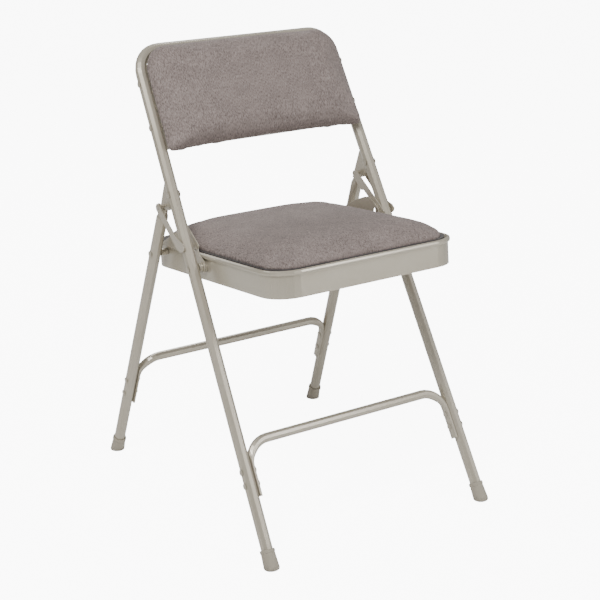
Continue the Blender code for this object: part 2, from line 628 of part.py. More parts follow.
for side, tag in SIDES:
    leg = REAR_LEGS[side]
    middle = abs(front_axis(1, LEG_PIVOT_Z).x)
    inner = middle - TUBE_RADIUS
    outer = middle + TUBE_RADIUS
    bore = RIVET_RADIUS + FIT
    rivet(f"leg_pivot_rivet_{tag}", side, LEG_PIVOT_YZ, inner, outer, None, head=0.0058)
    tool = cutter(
        f"leg_pivot_bore_{tag}", rod_mesh("bore", bore, side * (inner - 0.02), side * (outer + 0.02), *LEG_PIVOT_YZ)
    )
    cut(FRONT_FRAME, tool)
    cut(leg, tool)

    pin_w = BEAD_LOW - GAP - STOP_PIN_RADIUS
    slope_y = math.sin(SEAT_TILT)
    slope_z = math.cos(SEAT_TILT)
    base = (REAR_FOOT_Y - SEAT_PIVOT_YZ[0]) * slope_y - SEAT_PIVOT_YZ[1] * slope_z
    pin_z = (pin_w - base) / (slope_z - REAR_RAKE * slope_y)
    spot = rear_axis(side, pin_z)
    leg_inner = abs(spot.x) - TUBE_RADIUS
    leg_outer = abs(spot.x) + TUBE_RADIUS
    pin_inner = SEAT_HALF_WIDTH + 0.0008
    length = leg_outer - pin_inner
    neck = leg_inner - GAP - pin_inner
    profile = [(0.0, length + HEAD_HEIGHT), (0.0032, length + HEAD_HEIGHT * 0.86), (0.0050, length + 0.0008)]
    profile += [(0.0055, length + GAP), (RIVET_RADIUS, length + GAP), (RIVET_RADIUS, neck)]
    profile += [(STOP_PIN_RADIUS, neck), (STOP_PIN_RADIUS, 0.0006), (STOP_PIN_RADIUS - 0.0006, 0.0), (0.0, 0.0)]
    turned(f"stop_pin_{tag}", profile, STEEL, across(side, pin_inner, spot.y, spot.z), REAR_PIVOT, 16)
    tool = cutter(
        f"stop_bore_{tag}",
        rod_mesh("bore", bore, side * (leg_inner - 0.01), side * (leg_outer + 0.02), spot.y, spot.z),
    )
    cut(leg, tool)

    group = STRUT_PIVOT[side]
    inner_x = STRUT_INNER_X + STRUT_THICKNESS
    strut = node(
        f"strut_inner_{tag}",
        plate_mesh("strut", strut_outline(STRUT_INNER_SHAPE), side * STRUT_INNER_X, side * inner_x),
        PAINT,
        group,
    )
    soften(strut, 0.0004)

    cover_x = STRUT_OUTER_X + STRUT_THICKNESS
    cover = node(
        f"strut_outer_{tag}",
        plate_mesh("cover", strut_outline(STRUT_OUTER_SHAPE), side * STRUT_OUTER_X, side * cover_x),
        PAINT,
        group,
    )
    soften(cover, 0.0005)

    rivet(f"strut_rivet_{tag}", side, STRUT_UPPER_YZ, STRUT_INNER_X, cover_x, group, inner_head=False)
    tool = cutter(
        f"strut_bore_{tag}",
        rod_mesh("bore", bore, side * (STRUT_INNER_X - 0.02), side * (cover_x + 0.02), *STRUT_UPPER_YZ),
    )
    for target in (leg, strut, cover):
        cut(target, tool)

    leg_face = abs(rear_axis(side, STRUT_UPPER_YZ[1]).x) + TUBE_RADIUS
    depth = STRUT_OUTER_X - GAP - leg_face - 2 * GAP
    profile = [(bore, depth), (0.0058, depth), (0.0058, 0.0), (bore, 0.0), (bore, depth)]
    turned(f"strut_washer_{tag}", profile, STEEL, across(side, leg_face + 2 * GAP, *STRUT_UPPER_YZ), group)

    stud = 0.0020
    stud_outer = STRUT_INNER_X + STRUT_THICKNESS
    stud_length = stud_outer - EAR_X
    profile = [(0.0, stud_length + 0.0012), (0.0038, stud_length + 0.0009), (0.0042, stud_length + GAP)]
    profile += [(stud, stud_length + GAP), (stud, -0.0002), (0.0, -0.0002)]
    turned(f"strut_stud_{tag}", profile, STEEL, across(side, EAR_X, *STRUT_LOWER_YZ), group, 16)
    tool = cutter(
        f"stud_bore_{tag}",
        rod_mesh("bore", stud + FIT, side * (EAR_X - 0.01), side * (stud_outer + 0.01), *STRUT_LOWER_YZ),
    )
    cut(strut, tool)

# ---- back: pressed panel between the uprights and a pad in front of it
FORWARD = Vector((0.0, -1.0, FRONT_RAKE)) / RAKE_LENGTH


def back_point(x, z, forward):
    """Point of the back: x across, z the height of the frame plane, forward of that plane."""
    return Vector((x, FRONT_FOOT_Y + FRONT_RAKE * z, z)) + FORWARD * forward


def back_outline(inset, forward, steps=6):
    """Outline over the uprights' centre lines, drawn in by inset and moved forward of the frame plane."""
    low = BACK_LOW + inset / RAKE_LENGTH
    high = TOP_AXIS_Z - (BACK_OVERLAP + inset) / RAKE_LENGTH
    top = max(0.004, BACK_TOP_RADIUS - inset)
    bottom = max(0.003, BACK_LOW_RADIUS - inset)
    corners = ((1, high, -1, top, 0.0), (-1, high, -1, top, 90.0))
    corners += ((-1, low, 1, bottom, 180.0), (1, low, 1, bottom, 270.0))
    points = []
    for sx, base, inwards, radius, start in corners:
        for i in range(steps + 1):
            turn = math.radians(start + 90.0 * i / steps)
            z = base + (inwards + math.sin(turn)) * radius / RAKE_LENGTH
            edge = FRONT_FOOT_X - FRONT_LEAN_X * z - BACK_OVERLAP - inset
            points.append(back_point(sx * (edge - radius) + radius * math.cos(turn), z, forward))
    return points


TRAY = TUBE_RADIUS + BACK_EDGE_GAP - BACK_OVERLAP
panel_rows = ((0.0120, -0.0058), (0.0030, -0.0046), (0.0, -0.0016), (0.0, 0.0134))
panel_rows += ((SHEET, 0.0134), (SHEET, -0.0012), (0.0038, -0.0032), (0.0120, -0.0042))
panel_mesh = ring_stack(
    "back_panel", [back_outline(TRAY + inset, BACK_PANEL_OFFSET + forward) for inset, forward in panel_rows]
)
BACK_PANEL = node("back_panel", panel_mesh, PAINT)

plug = TRAY + SHEET + 0.0007
pad_rows = ((plug + 0.0120, BACK_PANEL_OFFSET - 0.0042 + GAP), (plug + 0.0022, BACK_PANEL_OFFSET - 0.0022))
pad_rows += ((plug, BACK_PANEL_OFFSET + 0.0010), (plug, 0.0094), (0.0010, 0.0102), (0.0, 0.0112))
pad_rows += ((-0.0005, 0.0150), (0.0004, 0.0200), (0.0030, 0.0255), (0.0080, 0.0305), (0.0170, 0.0345))
pad_rows += ((0.0330, 0.0372), (0.0560, 0.0385))
node(
    "back_pad",
    ring_stack("back_pad", [back_outline(inset, forward) for inset, forward in pad_rows]),
    FABRIC,
    smooth=1.0,
)

for side, tag in SIDES:
    for rank, z in (("upper", 0.690), ("lower", 0.625)):
        name = f"back_rivet_{tag}_{rank}"
        spot = front_axis(side, z)
        outer = abs(spot.x) + TUBE_RADIUS
        inner = abs(spot.x) - TUBE_RADIUS - BACK_EDGE_GAP - SHEET
        rivet(name, side, (spot.y, spot.z), inner, outer, None, inner_head=False)
        tool = cutter(
            name + "_bore",
            rod_mesh("bore", RIVET_RADIUS + FIT, side * (inner - 0.01), side * (outer + 0.02), spot.y, spot.z),
        )
        cut(FRONT_FRAME, tool)
        cut(BACK_PANEL, tool)
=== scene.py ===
"""Folding chair, visual model: upholstered cushions, powder-coated steel and a studio stage."""
import json
import math

import bpy
import numpy as np
from bpy.props import FloatProperty, FloatVectorProperty, IntProperty, PointerProperty
from mathutils import Matrix, Vector


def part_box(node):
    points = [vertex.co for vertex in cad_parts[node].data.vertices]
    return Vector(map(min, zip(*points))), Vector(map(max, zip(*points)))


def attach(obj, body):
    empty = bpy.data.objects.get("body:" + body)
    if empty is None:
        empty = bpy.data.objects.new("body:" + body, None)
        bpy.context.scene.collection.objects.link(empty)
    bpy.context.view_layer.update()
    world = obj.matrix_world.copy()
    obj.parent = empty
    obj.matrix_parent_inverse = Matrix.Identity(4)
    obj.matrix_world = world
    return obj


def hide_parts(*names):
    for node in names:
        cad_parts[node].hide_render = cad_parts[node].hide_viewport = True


bl_info = {
    "name": "Folding Chair",
    "version": (1, 0, 0),
    "blender": (4, 5, 0),
    "location": "View3D > Sidebar > Folding Chair",
    "description": "Cushions, finishes and studio stage of a folding chair",
    "category": "Object",
}

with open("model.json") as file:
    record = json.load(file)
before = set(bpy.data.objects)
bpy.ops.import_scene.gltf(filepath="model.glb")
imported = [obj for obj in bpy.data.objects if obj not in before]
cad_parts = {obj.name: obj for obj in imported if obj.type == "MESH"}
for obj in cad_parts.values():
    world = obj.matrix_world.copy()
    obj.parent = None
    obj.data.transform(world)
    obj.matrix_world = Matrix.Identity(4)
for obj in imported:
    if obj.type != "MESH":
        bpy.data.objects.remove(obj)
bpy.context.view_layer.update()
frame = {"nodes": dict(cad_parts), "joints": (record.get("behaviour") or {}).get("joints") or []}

# ---- how the steel frame stands, metres and radians
SEAT_TILT = 0.1162
FRAME_RAKE = 0.601
FRAME_LEAN = 0.0314
RAKE_LENGTH = math.hypot(FRAME_RAKE, 1.0)
FRAME_FOOT_Y = -0.2613
RIM_BEAD = 0.0034

# ---- cushion corners and edges
SEAT_CORNERS = (0.062, 0.048)
BACK_CORNERS = (0.041, 0.004)
SEAT_SIDE_GAP = 0.0004
SEAT_HELD = 0.0006
BACK_REAR = 0.0134
BACK_HELD = 0.0140
BACK_CLEARANCE = (0.0015, 0.0012)
RIPPLE_REACH = 0.016
PUCKER_REACH = 0.022
ARCH_MIDDLE = 0.0040
ARCH_CORNER = 0.0070
SEAT_RIPPLE = ((0.00025, 170.0, 0.4), (0.00018, 410.0, 1.1))
BACK_PUCKER = ((0.0006, 90.0, 0.7), (0.0005, 171.0, 2.1), (0.0003, 395.0, 0.2))
UNDERSIDE_SCALE = (0.55, 0.90, 0.965, 0.988)
UNDERSIDE_HEIGHT = (-0.0028, -0.0028, -0.0024, -0.0012)
SMOOTH_FACTOR = 0.5
SMOOTH_PASSES = 4
CLOTH_SETTINGS = {
    "quality": 5,
    "tension_stiffness": 25.0,
    "compression_stiffness": 8.0,
    "shear_stiffness": 12.0,
    "bending_stiffness": 1.5,
}

# ---- fixed colours of the finishes, with the painted shade of the seat board
PALE_YARN = (0.56, 0.52, 0.49)
COAT_SHADOW = (0.20, 0.17, 0.13)
COAT_LIGHT = (0.80, 0.78, 0.72)
COAT_SPECK = (0.75, 0.72, 0.66)
DUST = (0.62, 0.60, 0.56)
WORN_EDGE = (0.62, 0.60, 0.55)
DARK_RUBBER = (0.10, 0.09, 0.08)
FLOOR_SCUFF = (0.11, 0.10, 0.09)
# seat board painted near-black: painted shade for the shadow gap between the seat cushion and the
# rim
BOARD_PAINTED_SHADE = (0.035, 0.028, 0.030)
FLOOR_PALE = ((0.90, 0.90, 0.895), (0.93, 0.93, 0.925))

# ---- relief (bump strength, bump distance) and plain shader values of the finishes
FABRIC_RELIEF = (0.45, 0.00025)
FABRIC_LOOK = {"Sheen Weight": 0.12, "Sheen Roughness": 0.45, "Specular IOR Level": 0.2}
PAINT_RELIEF = (0.04, 0.00004)
PAINT_LOOK = {"Coat Weight": 0.25, "Coat Roughness": 0.12, "Specular IOR Level": 0.8}
PAINT_METALLIC = 0.35
RUBBER_RELIEF = (0.25, 0.0003)
RUBBER_LOOK = {"Specular IOR Level": 0.35}
BOARD_ROUGHNESS = 0.85
FLOOR_ROUGHNESS = 0.9
HARDWARE_POLISH = 0.03
WEAR_RADIUS = 0.0008
WEAR_STRENGTH = 0.20

# ---- stage
SENSOR_WIDTH = 36.0
CAMERA_PLACE = (-1.2737, -1.9515, 1.1543)
CAMERA_TARGET = (0.0141, 0.0010, 0.3215)
FLOOR_RADIUS = 14.0
FLOOR_SIDES = 64
LAMPS = (
    ("key", (-1.5, -0.9, 2.7), (0.0, 0.0, 0.4), (0.8, 0.8)),
    ("fill", (1.4, -2.4, 1.3), (0.0, 0.0, 0.4), (0.5, 1.8)),
    ("rim", (0.6, 2.2, 2.2), (0.0, 0.0, 0.5), (1.6, 1.0)),
)


# ---- settings
class ChairCushionSettings(bpy.types.PropertyGroup):
    """Sizes of the two cushions."""

    seat_crown: FloatProperty(
        name="Seat crown",
        description="Height of the seat cushion over the rim",
        default=0.031,
        unit="LENGTH",
    )
    seat_margin: FloatProperty(
        name="Seat margin",
        description="Rim left showing round the cushion",
        default=0.0060,
        unit="LENGTH",
    )
    back_crown: FloatProperty(
        name="Back crown",
        description="How far the back cushion stands forward",
        default=0.0285,
        unit="LENGTH",
    )
    swell: FloatProperty(
        name="Swell",
        description="Most that the cloth may move when inflated",
        default=0.004,
        unit="LENGTH",
    )
    voxel: FloatProperty(
        name="Voxel",
        description="Remesh size before the cloth",
        default=0.005,
        unit="LENGTH",
    )
    pressure: FloatProperty(
        name="Pressure",
        description="Cloth pressure inside a cushion",
        default=3.0,
    )
    frames: IntProperty(
        name="Frames",
        description="Steps of the cloth simulation",
        default=16,
    )


class ChairFinishSettings(bpy.types.PropertyGroup):
    """Colours and roughness of the finishes."""

    paint: FloatVectorProperty(
        name="Paint",
        description="Powder coat colour",
        default=(0.470, 0.425, 0.335),
        subtype="COLOR",
    )
    paint_roughness: FloatProperty(
        name="Paint roughness",
        description="Powder coat roughness",
        default=0.28,
        subtype="FACTOR",
    )
    rubber: FloatVectorProperty(
        name="Rubber",
        description="Foot tip colour",
        default=(0.40, 0.362, 0.288),
        subtype="COLOR",
    )
    fabric_light: FloatVectorProperty(
        name="Fabric light",
        description="Pale yarn",
        default=(0.370, 0.306, 0.283),
        subtype="COLOR",
    )
    fabric_dark: FloatVectorProperty(
        name="Fabric dark",
        description="Dark yarn",
        default=(0.095, 0.075, 0.069),
        subtype="COLOR",
    )


class ChairStageSettings(bpy.types.PropertyGroup):
    """Camera lens and lamp strengths."""

    lens: FloatProperty(
        name="Lens",
        description="Focal length in millimetres",
        default=87.36,
        unit="CAMERA",
    )
    key: FloatProperty(
        name="Key",
        description="Power of the key lamp",
        default=62.0,
        unit="POWER",
    )
    fill: FloatProperty(
        name="Fill",
        description="Power of the fill lamp",
        default=30.0,
        unit="POWER",
    )
    rim: FloatProperty(
        name="Rim",
        description="Power of the lamp behind",
        default=26.0,
        unit="POWER",
    )
    world: FloatProperty(
        name="World",
        description="Strength of the ambient light",
        default=0.40,
    )
    backdrop: FloatProperty(
        name="Backdrop",
        description="Brightness of the seen backdrop",
        default=16.0,
    )
    floor_glow: FloatProperty(
        name="Floor glow",
        description="Brightness added to the seen floor",
        default=9.0,
    )


# ---- node helpers
VECTOR_SOCKET = ("Vector", "NodeSocketVector")
FINISH_SOCKETS = (
    ("Color", "NodeSocketColor"),
    ("Height", "NodeSocketFloat"),
    ("Roughness", "NodeSocketFloat"),
)


def new_group(name, inputs, outputs):
    """Node group with typed sockets; returns the tree and its input and output nodes."""
    tree = bpy.data.node_groups.new(name, "ShaderNodeTree")
    for label, kind in inputs:
        tree.interface.new_socket(label, in_out="INPUT", socket_type=kind)
    for label, kind in outputs:
        tree.interface.new_socket(label, in_out="OUTPUT", socket_type=kind)
    return tree, tree.nodes.new("NodeGroupInput"), tree.nodes.new("NodeGroupOutput")


def math_node(tree, operation, a, b=None, clamp=False):
    """Result of one operation on a and b, each a number or a socket."""
    node = tree.nodes.new("ShaderNodeMath")
    node.operation = operation
    node.use_clamp = clamp
    for slot, value in zip(node.inputs, (a, b)):
        if value is None:
            continue
        if isinstance(value, (int, float)):
            slot.default_value = value
        else:
            tree.links.new(value, slot)
    return node.outputs[0]


def mix_colour(tree, factor, a, b):
    """Colour a turned into b by a factor, each of them a plain value or a socket."""
    node = tree.nodes.new("ShaderNodeMix")
    node.data_type = "RGBA"
    for slot, value in ((node.inputs[0], factor), (node.inputs[6], a), (node.inputs[7], b)):
        if isinstance(value, (int, float)):
            slot.default_value = value
        elif isinstance(value, (tuple, list)):
            slot.default_value = (*value[:3], 1.0)
        else:
            tree.links.new(value, slot)
    return node.outputs[2]


def stretched(tree, vector, scale):
    """Coordinates multiplied by a scale for each axis."""
    node = tree.nodes.new("ShaderNodeVectorMath")
    node.operation = "MULTIPLY"
    tree.links.new(vector, node.inputs[0])
    node.inputs[1].default_value = scale
    return node.outputs[0]


def noise(tree, vector, scale, detail, roughness):
    """Noise of 0 to 1 over the coordinates, scale in waves per metre."""
    node = tree.nodes.new("ShaderNodeTexNoise")
    tree.links.new(vector, node.inputs["Vector"])
    node.inputs["Scale"].default_value = scale
    node.inputs["Detail"].default_value = detail
    node.inputs["Roughness"].default_value = roughness
    return node.outputs[0]


def ramp(tree, value, low, high):
    """Smooth step: 0 up to low and 1 from high on."""
    node = tree.nodes.new("ShaderNodeMapRange")
    node.interpolation_type = "SMOOTHSTEP"
    tree.links.new(value, node.inputs["Value"])
    node.inputs["From Min"].default_value = low
    node.inputs["From Max"].default_value = high
    return node.outputs[0]


def heather_group():
    """Heather cloth: streaky pale and dark yarns along Y with a fine plain weave in the height."""
    tree, source, sink = new_group(
        "Heather Cloth",
        [VECTOR_SOCKET, ("Light", "NodeSocketColor"), ("Dark", "NodeSocketColor")],
        FINISH_SOCKETS,
    )
    vector = source.outputs["Vector"]
    along = stretched(tree, vector, (1.0, 0.24, 0.24))
    streak = noise(tree, along, scale=1050.0, detail=2.0, roughness=0.6)
    along = stretched(tree, vector, (1.0, 0.22, 0.22))
    fleck = noise(tree, along, scale=760.0, detail=1.0, roughness=0.5)
    cloud = noise(tree, vector, scale=26.0, detail=4.0, roughness=0.6)
    fuzz = noise(tree, vector, scale=1500.0, detail=1.0, roughness=0.5)
    tone = math_node(tree, "MULTIPLY", ramp(tree, streak, 0.32, 0.68), 0.62)
    shade = math_node(tree, "MULTIPLY", ramp(tree, cloud, 0.32, 0.68), 0.12)
    tone = math_node(tree, "ADD", tone, shade)
    tone = math_node(tree, "ADD", tone, math_node(tree, "MULTIPLY", fuzz, 0.22), clamp=True)
    base = mix_colour(tree, tone, source.outputs["Dark"], source.outputs["Light"])
    pale = ramp(tree, fleck, 0.64, 0.74)
    colour = mix_colour(tree, math_node(tree, "MULTIPLY", pale, 0.34), base, PALE_YARN)
    tree.links.new(colour, sink.inputs["Color"])
    split = tree.nodes.new("ShaderNodeSeparateXYZ")
    tree.links.new(vector, split.inputs[0])
    warp = math_node(tree, "SINE", math_node(tree, "MULTIPLY", split.outputs[0], 5200.0))
    weft = math_node(tree, "SINE", math_node(tree, "MULTIPLY", split.outputs[1], 4700.0))
    weave = math_node(tree, "MULTIPLY", warp, weft)
    height = math_node(tree, "ADD", math_node(tree, "MULTIPLY", weave, 0.30), streak)
    height = math_node(tree, "ADD", height, math_node(tree, "MULTIPLY", fuzz, 0.5))
    tree.links.new(height, sink.inputs["Height"])
    rough = math_node(tree, "ADD", 0.86, math_node(tree, "MULTIPLY", pale, -0.08))
    tree.links.new(rough, sink.inputs["Roughness"])
    return tree


def coat_group():
    """Powder coat: cloudy colour with specks and dust, orange peel in the height, smudged gloss."""
    tree, source, sink = new_group(
        "Powder Coat",
        [VECTOR_SOCKET, ("Colour", "NodeSocketColor"), ("Roughness", "NodeSocketFloat")],
        FINISH_SOCKETS,
    )
    vector = source.outputs["Vector"]
    cloud = noise(tree, vector, scale=9.0, detail=4.0, roughness=0.55)
    peel = noise(tree, vector, scale=950.0, detail=1.0, roughness=0.5)
    grains = noise(tree, vector, scale=1700.0, detail=0.0, roughness=0.5)
    speck = ramp(tree, grains, 0.70, 0.78)
    patches = noise(tree, vector, scale=60.0, detail=5.0, roughness=0.7)
    dust = ramp(tree, patches, 0.52, 0.75)
    darker = mix_colour(tree, 0.05, source.outputs["Colour"], COAT_SHADOW)
    paler = mix_colour(tree, 0.05, source.outputs["Colour"], COAT_LIGHT)
    colour = mix_colour(tree, ramp(tree, cloud, 0.35, 0.65), darker, paler)
    colour = mix_colour(tree, math_node(tree, "MULTIPLY", speck, 0.03), colour, COAT_SPECK)
    colour = mix_colour(tree, math_node(tree, "MULTIPLY", dust, 0.05), colour, DUST)
    tree.links.new(colour, sink.inputs["Color"])
    tree.links.new(peel, sink.inputs["Height"])
    rough = math_node(tree, "MULTIPLY", dust, 0.05)
    rough = math_node(tree, "ADD", source.outputs["Roughness"], rough)
    rough = math_node(tree, "ADD", rough, math_node(tree, "MULTIPLY", cloud, 0.05))
    tree.links.new(rough, sink.inputs["Roughness"])
    return tree


def edge_wear_group():
    """Wear mask: 1 where the surface turns within a short distance, broken up by noise."""
    tree, source, sink = new_group(
        "Edge Wear",
        [VECTOR_SOCKET, ("Radius", "NodeSocketFloat")],
        [("Mask", "NodeSocketFloat")],
    )
    bevel = tree.nodes.new("ShaderNodeBevel")
    bevel.samples = 4
    tree.links.new(source.outputs["Radius"], bevel.inputs["Radius"])
    shape = tree.nodes.new("ShaderNodeNewGeometry")
    dot = tree.nodes.new("ShaderNodeVectorMath")
    dot.operation = "DOT_PRODUCT"
    tree.links.new(bevel.outputs[0], dot.inputs[0])
    tree.links.new(shape.outputs["Normal"], dot.inputs[1])
    sharp = ramp(tree, math_node(tree, "SUBTRACT", 1.0, dot.outputs["Value"]), 0.04, 0.22)
    chips = noise(tree, source.outputs["Vector"], scale=210.0, detail=4.0, roughness=0.7)
    broken = ramp(tree, chips, 0.50, 0.66)
    tree.links.new(math_node(tree, "MULTIPLY", sharp, broken), sink.inputs["Mask"])
    return tree


def rubber_group():
    """Moulded rubber: faint mottling, scuffs near the floor and a fine grain in the height."""
    tree, source, sink = new_group(
        "Moulded Rubber",
        [VECTOR_SOCKET, ("Colour", "NodeSocketColor")],
        FINISH_SOCKETS,
    )
    vector = source.outputs["Vector"]
    split = tree.nodes.new("ShaderNodeSeparateXYZ")
    tree.links.new(vector, split.inputs[0])
    low = math_node(tree, "SUBTRACT", 1.0, ramp(tree, split.outputs[2], 0.0, 0.012))
    grain = noise(tree, vector, scale=1400.0, detail=2.0, roughness=0.6)
    rubbed = noise(tree, vector, scale=240.0, detail=4.0, roughness=0.7)
    scuff = math_node(tree, "MULTIPLY", low, ramp(tree, rubbed, 0.40, 0.62))
    dark = mix_colour(tree, 0.18, source.outputs["Colour"], DARK_RUBBER)
    mottle = noise(tree, vector, scale=70.0, detail=3.0, roughness=0.6)
    colour = mix_colour(tree, mottle, source.outputs["Colour"], dark)
    colour = mix_colour(tree, math_node(tree, "MULTIPLY", scuff, 0.5), colour, FLOOR_SCUFF)
    tree.links.new(colour, sink.inputs["Color"])
    tree.links.new(grain, sink.inputs["Height"])
    rough = math_node(tree, "ADD", 0.55, math_node(tree, "MULTIPLY", scuff, 0.3))
    tree.links.new(rough, sink.inputs["Roughness"])
    return tree


def shared(name, make):
    """Node group of a name, made when it is first asked for."""
    tree = bpy.data.node_groups.get(name)
    return tree if tree is not None else make()


def start_material(name, group, relief, look, tilt=0.0):
    """Material fed by a shared group in object coordinates, which may be tilted about X."""
    mat = bpy.data.materials.new(name)
    mat.use_nodes = True
    tree = mat.node_tree
    shader = tree.nodes["Principled BSDF"]
    coords = tree.nodes.new("ShaderNodeTexCoord")
    mapping = tree.nodes.new("ShaderNodeMapping")
    mapping.inputs["Rotation"].default_value = (tilt, 0.0, 0.0)
    tree.links.new(coords.outputs["Object"], mapping.inputs["Vector"])
    effect = tree.nodes.new("ShaderNodeGroup")
    effect.node_tree = group
    tree.links.new(mapping.outputs[0], effect.inputs["Vector"])
    tree.links.new(effect.outputs["Color"], shader.inputs["Base Color"])
    tree.links.new(effect.outputs["Roughness"], shader.inputs["Roughness"])
    bump = tree.nodes.new("ShaderNodeBump")
    tree.links.new(effect.outputs["Height"], bump.inputs["Height"])
    tree.links.new(bump.outputs[0], shader.inputs["Normal"])
    bump.inputs["Strength"].default_value, bump.inputs["Distance"].default_value = relief
    for label, value in look.items():
        shader.inputs[label].default_value = value
    return mat, effect


def fabric_material(name, light, dark, tilt):
    """Heather cloth whose yarns follow a surface tilted about X."""
    cloth = shared("Heather Cloth", heather_group)
    mat, effect = start_material(name, cloth, FABRIC_RELIEF, FABRIC_LOOK, tilt)
    effect.inputs["Light"].default_value = (*light, 1.0)
    effect.inputs["Dark"].default_value = (*dark, 1.0)
    return mat


def paint_material(name, colour, roughness, metallic=PAINT_METALLIC, wear=True):
    """Satin powder coat under a thin gloss and, where asked, with paler worn edges."""
    coat = shared("Powder Coat", coat_group)
    mat, effect = start_material(name, coat, PAINT_RELIEF, PAINT_LOOK)
    effect.inputs["Colour"].default_value = (*colour, 1.0)
    effect.inputs["Roughness"].default_value = roughness
    tree = mat.node_tree
    shader = tree.nodes["Principled BSDF"]
    shader.inputs["Metallic"].default_value = metallic
    if wear:
        mask = tree.nodes.new("ShaderNodeGroup")
        mask.node_tree = shared("Edge Wear", edge_wear_group)
        mask.inputs["Radius"].default_value = WEAR_RADIUS
        tree.links.new(tree.nodes["Mapping"].outputs[0], mask.inputs["Vector"])
        fade = math_node(tree, "MULTIPLY", mask.outputs["Mask"], WEAR_STRENGTH)
        worn = mix_colour(tree, fade, effect.outputs["Color"], WORN_EDGE)
        tree.links.new(worn, shader.inputs["Base Color"])
    return mat


def rubber_material(name, colour):
    """Moulded rubber of a foot tip."""
    rubber = shared("Moulded Rubber", rubber_group)
    mat, effect = start_material(name, rubber, RUBBER_RELIEF, RUBBER_LOOK)
    effect.inputs["Colour"].default_value = (*colour, 1.0)
    return mat


def dress(obj, mat):
    """Put one material into every slot of an object."""
    if not obj.material_slots:
        obj.data.materials.append(mat)
    for entry in obj.material_slots:
        entry.material = mat


# ---- surfaces
def rounded_boundary(half_x, half_y, radii, count):
    """Rounded rectangle at equal angles from its middle, radii for the y > 0 and y < 0 corners.

    A point lies on the nearer of the two straight sides, or in a corner where the ray leaves the
    corner's circle: along + sqrt(along^2 - centre^2 + radius^2), with along the centre's distance
    measured on the ray.
    """
    angle = np.linspace(0.0, 2.0 * np.pi, count, endpoint=False)
    direction = np.stack([np.cos(angle), np.sin(angle)], 1)
    ahead = np.abs(direction)
    reach = (np.array([half_x, half_y]) / np.maximum(ahead, 1e-9)).min(1)
    radius = np.where(direction[:, 1] > 0, radii[0], radii[1])
    centre = np.stack([half_x - radius, half_y - radius], 1)
    along = (ahead * centre).sum(1)
    off = along**2 - (centre**2).sum(1) + radius**2
    arc = along + np.sqrt(np.maximum(off, 0.0))
    spot = ahead * arc[:, None]
    in_corner = (spot[:, 0] > centre[:, 0]) & (spot[:, 1] > centre[:, 1]) & (off > 0)
    reach = np.where(in_corner, arc, reach)
    return direction * reach[:, None]


def cushion_surface(boundary, crown, roll, levels, dome):
    """Closed crowned cushion over a boundary.

    Each ring is the boundary scaled by cos(t)^roll and raised by crown * sin(t)^dome, t from 0 at
    the edge to a quarter turn at the middle; the underside is a shallow tucked-in copy of the edge.
    """
    t = np.linspace(0.0, 0.5 * np.pi, levels)[:-1]
    scale = np.cos(t) ** roll
    height = crown * np.sin(t) ** dome
    scale = np.concatenate([UNDERSIDE_SCALE, scale])
    height = np.concatenate([UNDERSIDE_HEIGHT, height])
    count = len(boundary)
    rings = boundary[None, :, :] * scale[:, None, None]
    heights = np.repeat(height[:, None], count, 1)
    body = np.concatenate([rings, heights[:, :, None]], 2).reshape(-1, 3)
    verts = np.concatenate([[[0.0, 0.0, UNDERSIDE_HEIGHT[0]]], body, [[0.0, 0.0, crown]]])
    rows = len(scale)
    i = np.arange(count)
    j = (i + 1) % count
    low = 1 + (np.arange(rows - 1)[:, None] * count)
    quads = np.stack([low + i, low + j, low + count + j, low + count + i], 2).reshape(-1, 4)
    bottom = np.stack([np.zeros(count, int), 1 + j, 1 + i], 1)
    last = 1 + (rows - 1) * count
    top = np.stack([last + i, last + j, np.full(count, len(verts) - 1)], 1)
    return verts, quads.tolist() + bottom.tolist() + top.tolist()


def make_object(name, verts, faces):
    """Smooth-shaded mesh object at the origin."""
    mesh = bpy.data.meshes.new(name)
    mesh.from_pydata(verts.tolist(), [], faces)
    mesh.validate()
    mesh.shade_smooth()
    obj = bpy.data.objects.new(name, mesh)
    bpy.context.scene.collection.objects.link(obj)
    return obj


def read_points(mesh):
    """Vertices as an array of three columns."""
    points = np.empty(len(mesh.vertices) * 3)
    mesh.vertices.foreach_get("co", points)
    return points.reshape(-1, 3)


def write_points(mesh, points):
    """Move the vertices to the rows of an array."""
    mesh.vertices.foreach_set("co", points.ravel())
    mesh.update()


def apply_all(obj):
    """Apply every modifier to the object's mesh."""
    depsgraph = bpy.context.evaluated_depsgraph_get()
    mesh = bpy.data.meshes.new_from_object(obj.evaluated_get(depsgraph))
    old = obj.data
    obj.modifiers.clear()
    obj.data = mesh
    bpy.data.meshes.remove(old)
    obj.data.shade_smooth()


